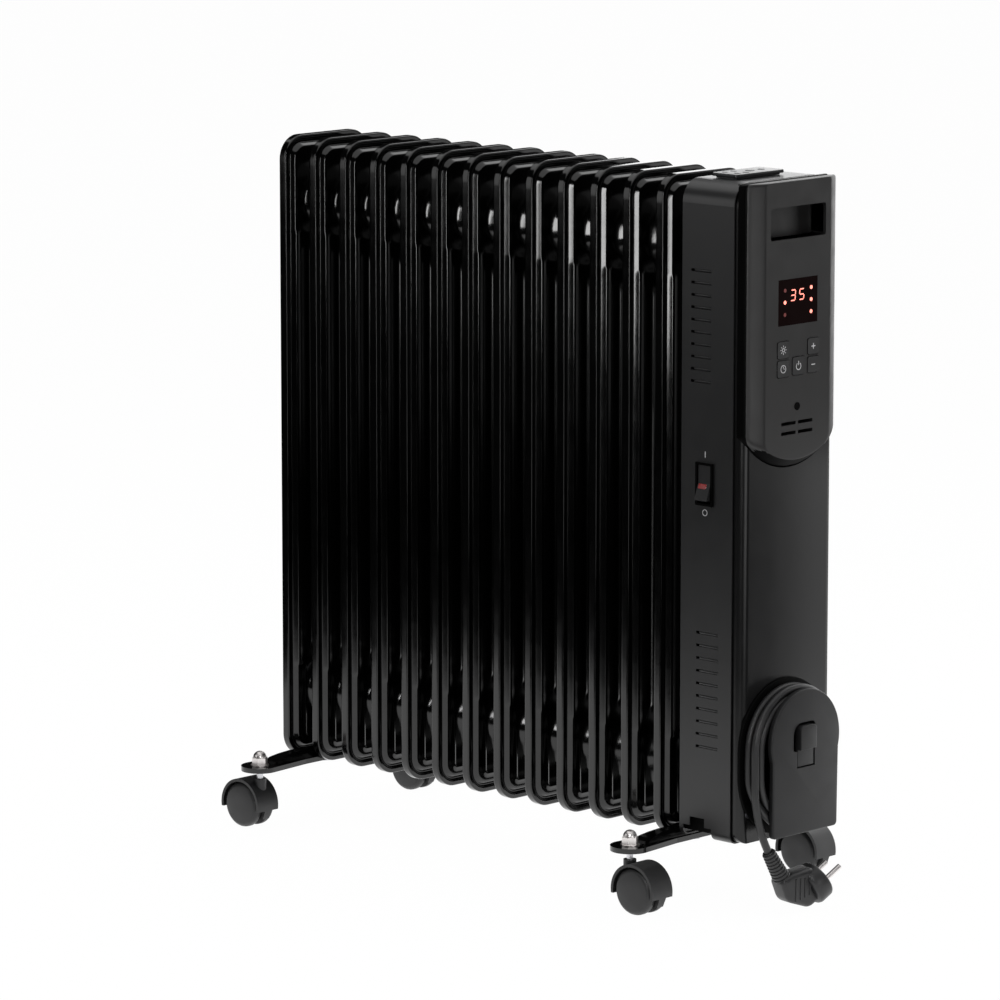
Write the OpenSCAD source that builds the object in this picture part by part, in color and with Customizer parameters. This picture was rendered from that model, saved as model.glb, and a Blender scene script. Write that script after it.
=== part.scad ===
// Oil filled radiator heater: a stack of oil fins, a control box at one end, a cord reel on the
// front of the box, and two foot bars on four swivel casters.
// +X runs along the fins towards the control box, -Y is the side with the mains switch and
// +Z is up. The origin is on the floor, under the middle of the heater.

/* [Fins] */
// Number of oil fins
fin_count = 13; // [7:1:13]
// Distance from one fin to the next
fin_pitch = 39.2; // [36:0.2:44]
// Depth of a fin, front edge to back edge
fin_depth = 108; // [100:1:112]
// Height of a fin
fin_height = 585; // [560:1:600]
// Corner radius of a fin
fin_corner_r = 22; // [18:1:26]
// Thickness of the rolled rim of a fin
rim_t = 8.5; // [7:0.5:10]
// Width of the rolled rim, seen from the side
rim_w = 6; // [5:0.5:8]
// Thickness of the pressed plates inside the rim
web_t = 5.6; // [5:0.2:6.4]
// Outer radius of the collars that join the fins
header_r = 20.5; // [19:0.5:23]

/* [Casters and feet] */
// Wheel diameter
wheel_d = 42; // [40:1:44]
// Distance of the axle behind the swivel axis
caster_trail = 14; // [12:1:16]
// Distance of a swivel axis from the middle plane
stem_y = 109; // [106:1:112]
// Width of a foot bar
foot_w = 35; // [32:1:38]
// Height of the underside of a foot bar
foot_z = 54.5; // [54:0.5:56]

/* [Control box] */
// Half width of the metal shell
shell_half_w = 61; // [59:1:63]
// Length of the metal shell along the stack
shell_len = 59; // [55:1:65]
// Height of the bottom of the shell
shell_z = 62.5; // [61:0.5:64]
// How far the lower cover stands in front of the shell
cover_len = 11; // [10:1:12]
// How far the control housing stands in front of the cover
housing_proud = 9; // [8:1:10]
// Wall thickness of the plastic covers
wall = 2.5; // [2:0.1:3]

/* [Reel and cord] */
// Distance of the reel's plate in front of the cover
reel_depth = 23; // [23:1:24]
// Cord diameter
cord_d = 7; // [6.5:0.5:7]

/* [Hidden] */
$fn = 64;

KEYS = ["power", "mode", "timer", "plus", "minus"];
CASTERS = [1:4];

// Colours
gloss_black = [0.03, 0.03, 0.035];
satin_grey = [0.17, 0.17, 0.17];
dark_plastic = [0.1, 0.1, 0.1];
steel = [0.75, 0.75, 0.77];
lens_red = [0.8, 0.08, 0.1];

// Casters
wheel_r = wheel_d / 2;
hood_gap = 1;
hood_t = 2.7;
hood_r = wheel_r + hood_gap + hood_t;
caster_half_w = 13;
web_half = 4;
wheel_gap = 0.6;
stem_r = 3;
axle_r = 3;
running_gap = 0.05;
hood_reach = caster_trail + hood_r;
socket_r = 5.75;
socket_top = 46.5;
socket_low = 29;
lip_z = 17;
web_z = 9;

// Places along the stack, from the middle of the first fin
stack_len = (fin_count - 1) * fin_pitch;
box_gap = 33.6;
foot_shift = 22;
front_foot_shift = 19;
latch_proud = 3.7;
reel_plate_t = 5;
front_end = stack_len + box_gap + shell_len + cover_len + reel_depth + latch_proud;
rear_end = foot_shift - hood_reach;
fin_1_x = -(front_end + rear_end) / 2;

// Places along X in the heater's own frame
last_fin_x = fin_1_x + stack_len;
rear_foot_x = fin_1_x + foot_shift;
front_foot_x = last_fin_x + front_foot_shift;
back_x = last_fin_x + box_gap;
shell_x = back_x + shell_len;
cover_x = shell_x + cover_len;
housing_x = cover_x + housing_proud;
plate_x = cover_x + reel_depth;

// Heights
foot_t = 4.5;
foot_top = foot_z + foot_t;
fin_z = foot_z + 0.5;
fin_mid_z = fin_z + fin_height / 2;
fin_top = fin_z + fin_height;
header_inset = 61.5;
header_low_z = fin_z + header_inset;
header_high_z = fin_top - header_inset;
box_top = fin_top;

// Fin details
channel_w = 7;
channel_t = 8;
// [distance from the middle, length]
channels = [[-43, 412], [-28.5, 372], [-14, 372], [0, 372], [14, 372], [28.5, 372], [43, 412]];
oil_gap = 3;
oil_half_w = 40;
oil_over = 20;
header_bore_r = 17;

// Foot details
rib_top = foot_top + 7;
rib_end = 94;
foot_waist = 25;
u_bolt_r = 2.5;
u_bolt_y = 24;
u_bolt_end = 50.5;
nut_r = 7.4;
washer_t = 0.8;
nut_h = 6.5;
dome_r = 6.3;

// Control box details
sheet = 1.2;
shell_r = 20;
low_r = 8;
slot_h = 2.4;
slot_count = 10;
slot_rows = [
    // [distance from the back plate, length, height of the lowest slot, step]
    [10.5, 23, 466, 10.7],
    [18.5, 25.5, 145, 11.2]
];
notch_x = back_x + 4;
notch_w = 33;
notch_top = 81;
cover_half_w = 59;
cover_r = 8;
cover_z = 64;
cover_top = 638;

// Control housing
housing_low = 390;
housing_arc_r = 75;
housing_layers = [
    // [distance behind the front face, half width, lowest point, highest point]
    [17, 59, housing_low, box_top - 1],
    [10, 58.8, housing_low + 0.5, box_top - 0.4],
    [6.5, 55.6, housing_low + 2, box_top],
    [3, 49.5, housing_low + 4.5, box_top],
    [0.4, 43, housing_low + 6.8, box_top - 0.2],
    [0, 41.5, housing_low + 8, box_top - 0.8]
];
recess_half_w = 36;
recess_z = [590, 618];
recess_depth = 19;
display_half_w = 25.6;
display_z = [515.5, 555.5];
key_gap = 0.4;
key_proud = 0.5;
key_len = 8;
board_x = cover_x - 2;
board_t = 1.6;
// [name, lowest y, highest y, lowest z, highest z]
key_places = [
    ["mode", -26.5, -11.5, 487.5, 502],
    ["timer", -26.5, -11.5, 471, 485.5],
    ["power", -6.8, 8.8, 471.5, 487],
    ["plus", 13, 27.5, 487.5, 501.5],
    ["minus", 13, 27.5, 471.5, 485.5]
];
vent_h = 3;
vent_z = [421.5, 430];
vent_y = [[-20.5, -1.5], [1.5, 20.5]];
sensor_r = 3.5;
sensor_z = 444;

// Mains switch
switch_x = back_x + 27.7;
switch_z = 377;
switch_half_w = 9.8;
switch_half_h = 18.8;
switch_rim = 1.2;
rocker_tilt = -10;
rocker_pivot_y = -shell_half_w + 4;
pivot_r = 1.3;

// Remote control, lying on top of the shell
remote_x = [back_x + 12, back_x + 42];
remote_y = [-39, 25];
remote_z = [box_top + 0.3, box_top + 1.8, box_top + 5];
remote_r = 4;

// Reel, in the plane of the cover: y and z
reel_z = 152;
reel_r = 45;
reel_half_w = 42.5;
reel_low = 69;
core_r = 32;
core_wall = 3;
latch_half_w = 10.5;
latch_z = [129, 165.5];
latch_gap = 1.4;
latch_r = 4;
tab_z = 144;
wind_y = -5;
wind_z = [125, 146];
wind_r = [41, 55];
wind_x = [cover_x + 2.5, cover_x + 17.5];

// Cord gland and strain relief on the cover
gland_x = cover_x + 7;
gland_z = 100;
gland_y = [-29, -17, 8];

// Route of the cord from the gland into the winding
start_route = [
    [289, 8, 100],
    [289, 13, 100],
    [289, 19, 101.5],
    [289, 25, 104],
    [289, 30, 108],
    [288.5, 34.5, 113],
    [288.5, 37.5, 119]
];

// Route of the cord from the winding down to the plug
tail_route = [
    [296, -56.5, 124],
    [296, -56.5, 112],
    [296, -55.5, 101],
    [296, -53, 90],
    [296, -49.5, 79],
    [296, -45, 68],
    [296, -39, 57]
];

// Plug: its own plane stands upright and is turned a little towards +X
plug_at = tail_route[len(tail_route) - 1];
plug_turn = 79;
relief_dir = 59;
relief_len = 33;
relief_r = [6, 8.2];
plug_face_tilt = 32;
plug_centre = [50, -34.5];
plug_r = 18;
plug_grip = [[8, -26], [22, -21], [44, -18], [54, -46], [40, -54], [16, -46]];
plug_grip_t = 20;
plug_disc = [-9, 7];
pin_r = 2.4;
pin_len = 19;
pin_half_pitch = 9.5;

// Helpers ------------------------------------------------------------------

// A flat shape drawn in Y and Z, made solid from x0 to x1
module along_x(x0, x1) {
    translate([x0, 0, 0]) rotate([90, 0, 90]) linear_extrude(x1 - x0) children();
}

// A flat shape drawn in X and Z, made solid from y0 to y1
module along_y(y0, y1) {
    translate([0, y1, 0]) rotate([90, 0, 0]) linear_extrude(y1 - y0) children();
}

module rounded_rect(w, h, r) {
    square([w - 2 * r, h], center = true);
    square([w, h - 2 * r], center = true);
    for (x = [-1, 1], y = [-1, 1])
        translate([x * (w / 2 - r), y * (h / 2 - r)]) circle(r);
}

// An upright outline with its own corner radius at the bottom and at the top
module upright_outline(half_w, z0, z1, r0, r1) {
    translate([-half_w, z0 + r0]) square([2 * half_w, z1 - z0 - r0 - r1]);
    translate([r0 - half_w, z0]) square([2 * (half_w - r0), r0 + 1]);
    translate([r1 - half_w, z1 - r1 - 1]) square([2 * (half_w - r1), r1 + 1]);
    for (s = [-1, 1]) {
        translate([s * (half_w - r0), z0 + r0]) circle(r0);
        translate([s * (half_w - r1), z1 - r1]) circle(r1);
    }
}

module bore(r, h) {
    translate([0, 0, -h / 2]) cylinder(r = r, h = h);
}

// A tube swept along a route by one polyhedron
function direction(p, i) =
    let (a = p[max(i - 1, 0)], b = p[min(i + 1, len(p) - 1)]) (b - a) / norm(b - a);
function ring(c, d, r, n) =
    let (u = cross(d, [1, 0, 0]) / norm(cross(d, [1, 0, 0])), v = cross(d, u))
    [for (k = [0:n - 1]) c + r * (cos(360 * k / n) * u + sin(360 * k / n) * v)];

module swept_tube(route, r, n) {
    rings = [for (i = [0:len(route) - 1]) ring(route[i], direction(route, i), r, n)];
    points = [for (q = rings) each q];
    last = (len(route) - 1) * n;
    sides = [for (i = [0:len(route) - 2], k = [0:n - 1])
        [i * n + k, i * n + (k + 1) % n, (i + 1) * n + (k + 1) % n, (i + 1) * n + k]];
    start = [[for (k = [n - 1:-1:0]) k]];
    end = [[for (k = [0:n - 1]) last + k]];
    polyhedron(points, concat(sides, start, end));
}

// Oil fins -----------------------------------------------------------------

function fin_x(i) = fin_1_x + (i - 1) * fin_pitch;

module fin_outline(inset) {
    translate([0, fin_mid_z])
        rounded_rect(fin_depth - 2 * inset, fin_height - 2 * inset, fin_corner_r - inset);
}

module fin_pressing() {
    along_x(-rim_t / 2, rim_t / 2) difference() {
        fin_outline(0);
        fin_outline(rim_w);
    }
    along_x(-web_t / 2, web_t / 2) fin_outline(rim_w / 2);
    for (c = channels)
        along_x(-channel_t / 2, channel_t / 2)
            translate([c[0], fin_mid_z]) rounded_rect(channel_w, c[1], channel_w / 2 - 0.5);
}

module fin_oil_space(is_first) {
    along_x(-oil_gap / 2, oil_gap / 2)
        translate([-oil_half_w, header_low_z - oil_over])
            square([2 * oil_half_w, header_high_z - header_low_z + 2 * oil_over]);
    bore_start = is_first ? 0 : -rim_t;
    for (z = [header_low_z, header_high_z])
        along_x(bore_start, rim_t) translate([0, z]) circle(header_bore_r);
}

module fin(i) {
    color(gloss_black) translate([fin_x(i), 0, 0]) difference() {
        fin_pressing();
        fin_oil_space(i == 1);
    }
}

module collar(x0, x1, z) {
    along_x(x0, x1) translate([0, z]) difference() {
        circle(header_r);
        circle(header_bore_r);
    }
}

module collars_between(z) {
    for (i = [1:fin_count - 1])
        collar(fin_x(i) + web_t / 2, fin_x(i + 1) - web_t / 2, z);
}

// The last upper collar is closed and carries the control box
module upper_header_collars() {
    end_t = 3;
    color(gloss_black) {
        collars_between(header_high_z);
        difference() {
            along_x(last_fin_x + web_t / 2, back_x) translate([0, header_high_z]) circle(header_r);
            along_x(last_fin_x, back_x - end_t) translate([0, header_high_z]) circle(header_bore_r);
        }
    }
}

// The last lower collar runs through the back plate and takes the heating elements
module lower_header_collars() {
    color(gloss_black) {
        collars_between(header_low_z);
        collar(last_fin_x + web_t / 2, back_x + 4, header_low_z);
    }
}

module oil_fill_plug() {
    plug_len = 5;
    color(steel) {
        along_x(fin_1_x - web_t / 2 - plug_len, fin_1_x - web_t / 2)
            translate([0, header_high_z]) circle(7, $fn = 6);
    }
}

// Heating parts ------------------------------------------------------------

element_r = 4;
element_half = 6.5;
element_end = back_x + 26;
element_turn = fin_1_x + 12;
flange_r = 27;
flange_t = 5;

module heating_elements() {
    color(steel) for (y = [-element_half, element_half]) translate([0, y, header_low_z]) {
        for (z = [-element_half, element_half])
            translate([element_turn, 0, z]) rotate([0, 90, 0])
                cylinder(r = element_r, h = element_end - element_turn);
        translate([element_turn, 0, 0]) rotate([90, 90, 0]) rotate([0, 0, 180])
            rotate_extrude(angle = 180) translate([element_half, 0]) circle(element_r);
    }
}

module element_flange() {
    color(steel) along_x(back_x + 4, back_x + 4 + flange_t)
        translate([0, header_low_z]) difference() {
            circle(flange_r);
            for (y = [-element_half, element_half], z = [-element_half, element_half])
                translate([y, z]) circle(element_r + running_gap);
        }
}

// A round thermal cut-out, clipped to the back plate over the lower header
module thermal_cutout() {
    color(dark_plastic) {
        along_x(back_x + 1.6, back_x + 9) translate([0, header_low_z + 42]) circle(9);
        along_x(back_x + 9, back_x + 15) translate([0, header_low_z + 42]) square([12, 8], center = true);
    }
}

module tip_over_switch() {
    color(dark_plastic)
        translate([back_x + 1.6, -35, 200]) cube([22, 30, 34]);
}

module terminal_block() {
    color([0.9, 0.9, 0.85]) difference() {
        translate([back_x + 1.6, -30, 300]) cube([16, 60, 18]);
        for (y = [-24:12:24])
            translate([back_x + 12, y, 309]) bore(2.5, 30);
    }
}

// Control box --------------------------------------------------------------

module back_plate() {
    plate_half_w = shell_half_w - sheet - 0.2;
    color(satin_grey) along_x(back_x, back_x + 1.6) difference() {
        upright_outline(plate_half_w, shell_z + sheet + 0.2, box_top - sheet - 0.2, low_r - 1, shell_r - 1);
        translate([0, header_low_z]) circle(header_r + 0.3);
    }
}

module slots(row) {
    for (k = [0:slot_count - 1])
        translate([back_x + row[0], -shell_half_w - 5, row[2] + k * row[3] - slot_h / 2])
            cube([row[1], 2 * shell_half_w + 10, slot_h]);
}

module side_shell() {
    color(satin_grey) difference() {
        along_x(back_x, shell_x)
            upright_outline(shell_half_w, shell_z, box_top, low_r, shell_r);
        along_x(back_x - 1, shell_x + 1)
            upright_outline(shell_half_w - sheet, shell_z + sheet, box_top - sheet, low_r - sheet, shell_r - sheet);
        for (row = slot_rows) slots(row);
        // Cut-outs over the front foot bar
        translate([notch_x, -shell_half_w - 5, shell_z - 5])
            cube([notch_w, 2 * shell_half_w + 10, notch_top - shell_z + 5 - 8]);
        translate([notch_x + 8, -shell_half_w - 5, shell_z])
            cube([notch_w - 16, 2 * shell_half_w + 10, notch_top - shell_z]);
        // Opening for the mains switch
        translate([switch_x - switch_half_w + 1, -shell_half_w - 1, switch_z - switch_half_h + 1])
            cube([2 * switch_half_w - 2, 5, 2 * switch_half_h - 2]);
    }
}

module cover_solid(inset) {
    r = cover_r - inset;
    half_w = cover_half_w - inset;
    intersection() {
        along_x(shell_x, cover_x - inset)
            upright_outline(half_w, cover_z + inset, cover_top - inset, low_r - inset, shell_r - 1 - inset);
        linear_extrude(box_top) translate([cover_x - inset - 30, 0])
            rounded_rect(60, 2 * half_w, r);
    }
}

module front_cover() {
    color(satin_grey) difference() {
        cover_solid(0);
        translate([-0.01, 0, 0]) cover_solid(wall);
        along_x(housing_x - 17.2, cover_x + 1) housing_outline(59.2, housing_low - 0.2, box_top);
        for (y = [-50, 50]) translate([cover_x - 5, y, 90]) rotate([0, 90, 0]) cylinder(r = 2.1, h = 9);
    }
}

// Outline of the control housing: straight sides and a round bottom
module housing_outline(half_w, low, high) {
    r = 12;
    top_r = 3;
    offset(r) offset(delta = -r) {
        translate([-half_w, 460]) square([2 * half_w, 40]);
        intersection() {
            translate([0, low + housing_arc_r]) circle(housing_arc_r);
            translate([-half_w, low]) square([2 * half_w, 90]);
        }
    }
    offset(top_r) offset(delta = -top_r) translate([-half_w, 480]) square([2 * half_w, high - 480]);
}

module housing_solid() {
    hull() for (layer = housing_layers)
        along_x(housing_x - layer[0], housing_x - layer[0] + 0.01)
            housing_outline(layer[1], layer[2], layer[3], $fn = 32);
}

module key_hole(p, gap) {
    w = p[2] - p[1] + 2 * gap;
    h = p[4] - p[3] + 2 * gap;
    translate([(p[1] + p[2]) / 2, (p[3] + p[4]) / 2]) rounded_rect(w, h, 2);
}

module control_housing() {
    inner_x = housing_x - wall;
    color(dark_plastic) difference() {
        union() {
            difference() {
                housing_solid();
                along_x(housing_x - 20, inner_x)
                    upright_outline(46, housing_low + 26, box_top - 4, 12, 12);
            }
            // Walls of the handle recess
            along_x(housing_x - recess_depth - 2, inner_x + 0.5)
                translate([-recess_half_w - 2, recess_z[0] - 2])
                    square([2 * recess_half_w + 4, recess_z[1] - recess_z[0] + 4]);
        }
        along_x(housing_x - recess_depth, housing_x + 1)
            translate([-recess_half_w, recess_z[0]])
                square([2 * recess_half_w, recess_z[1] - recess_z[0]]);
        along_x(inner_x - 1, housing_x + 1)
            translate([-display_half_w, display_z[0]])
                square([2 * display_half_w, display_z[1] - display_z[0]]);
        along_x(inner_x - 1, housing_x + 1) {
            for (p = key_places) key_hole(p, key_gap);
            for (v = vent_y, z = vent_z)
                translate([v[0], z - vent_h / 2]) square([v[1] - v[0], vent_h]);
            translate([0, sensor_z]) circle(sensor_r);
        }
    }
}

module display_window() {
    color([0.05, 0.01, 0.01]) along_x(housing_x - 2, housing_x - 0.2)
        translate([-display_half_w, display_z[0]])
            square([2 * display_half_w, display_z[1] - display_z[0]]);
}

// Circuit board with the digit module behind the window
module control_board() {
    color([0.05, 0.3, 0.12]) {
        along_x(board_x, board_x + board_t)
            translate([-40, 435]) square([80, 122]);
        along_x(board_x + board_t, housing_x - wall)
            translate([-23, display_z[0] + 2]) square([46, display_z[1] - display_z[0] - 4]);
    }
}

module key(name) {
    p = [for (q = key_places) if (q[0] == name) q][0];
    color(dark_plastic) along_x(housing_x + key_proud - key_len, housing_x + key_proud)
        key_hole(p, 0);
}

module signal_sensor() {
    color([0.05, 0.02, 0.03]) along_x(housing_x - 5, housing_x + 0.4)
        translate([0, sensor_z]) circle(sensor_r);
}

// Mains switch -------------------------------------------------------------

module switch_bezel() {
    body_depth = 24;
    color(dark_plastic) difference() {
        union() {
            translate([switch_x - switch_half_w, -shell_half_w - 2, switch_z - switch_half_h])
                cube([2 * switch_half_w, 2, 2 * switch_half_h]);
            translate([switch_x - switch_half_w + 1.2, -shell_half_w, switch_z - switch_half_h + 1.2])
                cube([2 * switch_half_w - 2.4, body_depth, 2 * switch_half_h - 2.4]);
        }
        translate([switch_x - switch_half_w + 2.2, -shell_half_w - 3, switch_z - 16.9])
            cube([2 * switch_half_w - 4.4, 15, 33.8]);
    }
    color(steel) translate([switch_x, rocker_pivot_y, switch_z]) rotate([0, 90, 0])
        cylinder(r = pivot_r, h = 2 * switch_half_w - 3, center = true);
}

// Tilted to its rest position: the upper end is pressed in
module rocker() {
    color(dark_plastic) translate([switch_x, rocker_pivot_y, switch_z]) rotate([rocker_tilt, 0, 0])
        rotate([90, 0, 90]) linear_extrude(14, center = true) difference() {
            polygon([[-7.8, -15.4], [-5, 0], [-7.8, 15.4], [1, 14], [5, 0], [1, -14]]);
            circle(pivot_r + running_gap);
        }
}

// Remote control lying on the shell ----------------------------------------

module remote_control() {
    middle = [(remote_x[0] + remote_x[1]) / 2, (remote_y[0] + remote_y[1]) / 2, 0];
    w = remote_x[1] - remote_x[0];
    len = remote_y[1] - remote_y[0];
    color(dark_plastic) translate(middle) {
        translate([0, 0, remote_z[0]]) linear_extrude(remote_z[1] - remote_z[0])
            rounded_rect(w - 6, len - 6, remote_r - 2);
        translate([0, 0, remote_z[1]]) linear_extrude(remote_z[2] - remote_z[1])
            rounded_rect(w, len, remote_r);
    }
}

// Cord reel ----------------------------------------------------------------

module reel_core() {
    color(dark_plastic) along_x(cover_x, plate_x - reel_plate_t) translate([0, reel_z]) difference() {
        circle(core_r);
        circle(core_r - core_wall);
    }
}

module reel_outline() {
    translate([0, reel_z]) circle(reel_r);
    translate([-reel_half_w, reel_low + 4]) square([2 * reel_half_w, reel_z - reel_low - 4]);
    translate([4 - reel_half_w, reel_low]) square([2 * reel_half_w - 8, 5]);
    for (s = [-1, 1]) translate([s * (reel_half_w - 4), reel_low + 4]) circle(4);
}

// Tongue outline: square at its root, round at its free end
module latch_outline(low, grow) {
    half_w = latch_half_w + grow;
    r = latch_r + grow;
    translate([-half_w, low - grow]) square([2 * half_w, latch_z[1] - low - latch_r]);
    hull() for (s = [-1, 1])
        translate([s * (latch_half_w - latch_r), latch_z[1] - latch_r]) circle(r);
    translate([-half_w, low]) square([2 * half_w, latch_z[1] - latch_r - low]);
}

module reel_plate() {
    color(dark_plastic) along_x(plate_x - reel_plate_t, plate_x) difference() {
        reel_outline();
        latch_outline(latch_z[0], latch_gap);
    }
}

// Spring tongue with a raised press tab
module reel_latch() {
    color(dark_plastic) {
        along_x(plate_x - 3.5, plate_x - 0.5) latch_outline(latch_z[0], 0);
        along_x(plate_x - 0.5, plate_x + latch_proud) latch_outline(tab_z, 0);
    }
}

// Cord, wound on the reel, with its plug -----------------------------------

module cord_gland() {
    gland_h = 8;
    color(dark_plastic) {
        translate([cover_x, gland_y[0], gland_z - gland_h])
            cube([14, gland_y[1] - gland_y[0], 2 * gland_h]);
        translate([gland_x, gland_y[1], gland_z]) rotate([-90, 0, 0])
            cylinder(h = gland_y[2] - gland_y[1], r1 = 6.8, r2 = 4.6);
    }
}

module cord_start() {
    color(dark_plastic) swept_tube(start_route, cord_d / 2, 10);
}

module winding_outline(r) {
    for (z = wind_z) translate([wind_y, z]) circle(r);
    translate([wind_y - r, wind_z[0]]) square([2 * r, wind_z[1] - wind_z[0]]);
}

module cord_winding() {
    color(dark_plastic) along_x(wind_x[0], wind_x[1]) difference() {
        winding_outline(wind_r[1]);
        winding_outline(wind_r[0]);
    }
}

module cord_tail() {
    color(dark_plastic) swept_tube(tail_route, cord_d / 2, 10);
}

module in_plug_plane() {
    translate(plug_at) rotate([0, 0, plug_turn]) children();
}

module plug_body() {
    color(dark_plastic) in_plug_plane() {
        rotate([0, 90 + relief_dir, 0])
            cylinder(h = relief_len, r1 = relief_r[0], r2 = relief_r[1]);
        rotate([90, 0, 0]) linear_extrude(plug_grip_t, center = true) polygon(plug_grip);
        translate([plug_centre[0], 0, plug_centre[1]]) rotate([0, 90 - plug_face_tilt, 0])
            translate([0, 0, plug_disc[0]]) cylinder(r = plug_r, h = plug_disc[1] - plug_disc[0]);
    }
}

module plug_pins() {
    color(steel) in_plug_plane()
        translate([plug_centre[0], 0, plug_centre[1]]) rotate([0, 90 - plug_face_tilt, 0])
            for (s = [-1, 1]) translate([0, s * pin_half_pitch, plug_disc[1]])
                cylinder(r = pin_r, h = pin_len);
}

// Feet ---------------------------------------------------------------------

module foot_bar(x) {
    half_rib = 9;
    end_r = foot_w / 2;
    slope = [[rib_end, foot_top - 1], [rib_end, foot_top + 1.2], [rib_end - 5, foot_top + 3.6],
             [rib_end - 15, foot_top + 5.8], [rib_end - 27, rib_top]];
    color(gloss_black) translate([x, 0, 0]) difference() {
        union() {
            translate([0, 0, foot_z]) linear_extrude(foot_t) {
                square([foot_waist, 2 * stem_y], center = true);
                for (s = [-1, 1]) hull() {
                    translate([0, s * stem_y]) circle(end_r);
                    translate([0, s * 62]) square([foot_waist, 1], center = true);
                }
            }
            intersection() {
                along_y(-rib_end, rib_end)
                    polygon([[-half_rib, foot_top - 1], [half_rib, foot_top - 1],
                             [half_rib - 1, foot_top + 4], [half_rib - 4, rib_top],
                             [4 - half_rib, rib_top], [1 - half_rib, foot_top + 4]]);
                along_x(-half_rib, half_rib) {
                    polygon(concat(slope, [[0, rib_top], [0, foot_top - 1]]));
                    mirror([1, 0]) polygon(concat(slope, [[0, rib_top], [0, foot_top - 1]]));
                }
            }
        }
        for (s = [-1, 1]) {
            translate([0, s * stem_y, foot_z]) bore(stem_r + running_gap, 30);
            translate([0, s * u_bolt_y, foot_z]) bore(u_bolt_r + running_gap, 60);
        }
    }
}

module rear_foot() {
    foot_bar(rear_foot_x);
}

module front_foot() {
    foot_bar(front_foot_x);
}

// Each U-bolt loops over the lower header between two fins
module foot_u_bolts() {
    color(steel) for (x = [rear_foot_x, front_foot_x]) translate([x, 0, 0]) {
        translate([0, 0, header_low_z]) rotate([90, 0, 90])
            rotate_extrude(angle = 180) translate([u_bolt_y, 0]) circle(u_bolt_r);
        for (s = [-1, 1]) translate([0, s * u_bolt_y, u_bolt_end])
            cylinder(r = u_bolt_r, h = header_low_z - u_bolt_end);
    }
}

module foot_nuts() {
    color(steel) for (x = [rear_foot_x, front_foot_x], s = [-1, 1])
        translate([x, s * u_bolt_y, 0]) difference() {
            translate([0, 0, foot_z - 3.5]) cylinder(r = 5, h = 3.5, $fn = 6);
            translate([0, 0, foot_z]) bore(u_bolt_r + running_gap, 40);
        }
}

// Casters ------------------------------------------------------------------

// Side along the stack (-1 rear, 1 front) and across it (-1, 1) of caster c
function caster_sx(c) = c < 3 ? -1 : 1;
function caster_sy(c) = c % 2 == 1 ? -1 : 1;
function caster_at(c) = [c < 3 ? rear_foot_x : front_foot_x, caster_sy(c) * stem_y, 0];

module at_casters() {
    for (c = CASTERS) translate(caster_at(c)) children();
}

module dome_nuts() {
    nut_z = foot_top + washer_t;
    color(steel) at_casters() difference() {
        union() {
            translate([0, 0, foot_top]) cylinder(r = 8.5, h = washer_t);
            translate([0, 0, nut_z]) cylinder(r = nut_r, h = nut_h, $fn = 6);
            translate([0, 0, nut_z + nut_h]) sphere(dome_r);
        }
        translate([0, 0, foot_top]) bore(stem_r + running_gap, 20);
        translate([0, 0, foot_top - 10]) cylinder(r = 12, h = 10);
    }
}

module caster_stems() {
    shoulder_t = 2;
    color(steel) at_casters() {
        translate([0, 0, socket_low + 1]) cylinder(r = stem_r, h = foot_top + 9 - socket_low);
        translate([0, 0, foot_z - shoulder_t]) cylinder(r = 5, h = shoulder_t);
    }
}

module across(r, y0, y1) {
    translate([0, y0, 0]) rotate([-90, 0, 0]) cylinder(r = r, h = y1 - y0);
}

module caster_hood(c) {
    axle_x = caster_sx(c) * caster_trail;
    color(dark_plastic) translate(caster_at(c)) difference() {
        union() {
            translate([axle_x, 0, wheel_r]) across(hood_r, -caster_half_w, caster_half_w);
            translate([0, 0, socket_low]) cylinder(r = socket_r, h = socket_top - socket_low);
        }
        for (s = [0, 180]) translate([axle_x, 0, wheel_r]) rotate([0, 0, s])
            across(wheel_r + hood_gap, web_half, caster_half_w + 1);
        for (s = [-1, 1]) translate([axle_x - 30, s > 0 ? web_half : -web_half - 20, -10])
            cube([60, 20, lip_z + 10]);
        translate([axle_x - 30, -20, -10]) cube([60, 40, web_z + 10]);
        translate([axle_x, 0, wheel_r]) across(axle_r + running_gap, -20, 20);
        translate([0, 0, socket_low + 0.5]) cylinder(r = stem_r + running_gap, h = 30);
    }
}

module caster_wheels(c) {
    axle_x = caster_sx(c) * caster_trail;
    inner = web_half + wheel_gap;
    color(dark_plastic) translate(caster_at(c) + [axle_x, 0, wheel_r]) {
        across(wheel_r, -caster_half_w, -inner);
        across(wheel_r, inner, caster_half_w);
        across(axle_r, -inner - 0.1, inner + 0.1);
    }
}

// Screws that hold the front cover
module cover_screws() {
    color(steel) for (y = [-50, 50]) translate([cover_x - 4, y, 90]) rotate([0, 90, 0]) {
        cylinder(r = 2, h = 4);
        translate([0, 0, 4]) cylinder(r = 3.6, h = 1.4);
    }
}

// Assembly -----------------------------------------------------------------

for (i = [1:fin_count]) fin(i);
upper_header_collars();
lower_header_collars();
oil_fill_plug();
heating_elements();
element_flange();
thermal_cutout();
tip_over_switch();
terminal_block();
back_plate();
side_shell();
front_cover();
control_housing();
display_window();
control_board();
for (k = KEYS) key(k);
signal_sensor();
switch_bezel();
rocker();
remote_control();
reel_core();
reel_plate();
reel_latch();
cord_gland();
cord_start();
cord_winding();
cord_tail();
plug_body();
plug_pins();
rear_foot();
front_foot();
foot_u_bolts();
foot_nuts();
dome_nuts();
caster_stems();
cover_screws();
for (c = CASTERS) caster_hood(c);
for (c = CASTERS) caster_wheels(c);
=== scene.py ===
import math

import bmesh
import bpy
from mathutils import Matrix, Vector


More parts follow.
